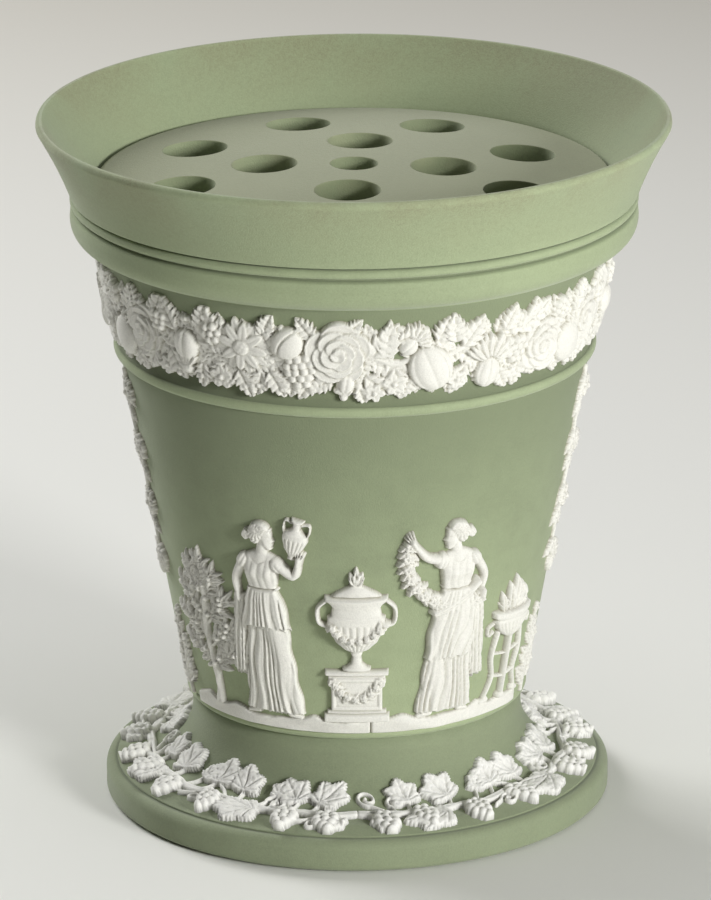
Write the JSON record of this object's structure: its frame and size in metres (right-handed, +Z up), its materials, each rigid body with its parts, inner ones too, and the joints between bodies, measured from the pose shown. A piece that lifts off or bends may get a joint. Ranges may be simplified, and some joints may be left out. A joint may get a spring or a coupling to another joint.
{
  "type": "flower vase",
  "caption": "Conical footed stoneware vase with a flared rim, applied white reliefs and a lift-out perforated flower frog.",
  "frame": {"origin": "middle of the foot's resting ring, on the surface the vase stands on", "axes": "+Z up the vase's axis, -Y the front with the urn in the middle of the frieze, +X to the right of someone facing the front"},
  "size_m": [0.159, 0.159, 0.178],
  "materials": {
    "sage_jasper": "matt unglazed",
    "frog_jasper": "matt unglazed",
    "white_jasper": "matt unglazed"
  },
  "bodies": {
    "vase": {"vase_body": "sage_jasper", "foot": "sage_jasper", "flower_border_1": "white_jasper", "flower_border_2": "white_jasper", "flower_border_3": "white_jasper", "flower_border_4": "white_jasper", "flower_border_5": "white_jasper", "flower_border_6": "white_jasper", "flower_border_7": "white_jasper", "flower_border_8": "white_jasper", "flower_border_9": "white_jasper", "vine_border_1": "white_jasper", "vine_border_2": "white_jasper", "vine_border_3": "white_jasper", "vine_border_4": "white_jasper", "vine_border_5": "white_jasper", "vine_border_6": "white_jasper", "vine_border_7": "white_jasper", "vine_border_8": "white_jasper", "ground_front": "white_jasper", "laurel_tree_front": "white_jasper", "amphora_maiden_front": "white_jasper", "garlanded_urn_front": "white_jasper", "garland_maiden_front": "white_jasper", "tripod_brazier_front": "white_jasper", "low_plant_left_front": "white_jasper", "low_plant_right_front": "white_jasper", "ground_back": "white_jasper", "laurel_tree_back": "white_jasper", "amphora_maiden_back": "white_jasper", "garlanded_urn_back": "white_jasper", "garland_maiden_back": "white_jasper", "tripod_brazier_back": "white_jasper", "low_plant_left_back": "white_jasper", "low_plant_right_back": "white_jasper", "side_drop_left": "white_jasper", "side_drop_right": "white_jasper", "side_drop_left_back": "white_jasper", "side_drop_right_back": "white_jasper"},
    "frog": {"flower_frog": "frog_jasper"}
  },
  "joints": [
    {"name": "frog_lift", "type": "slide", "parent": "vase", "child": "frog", "axis": [0, 0, 1], "range_m": [0, 0.06]}
  ]
}
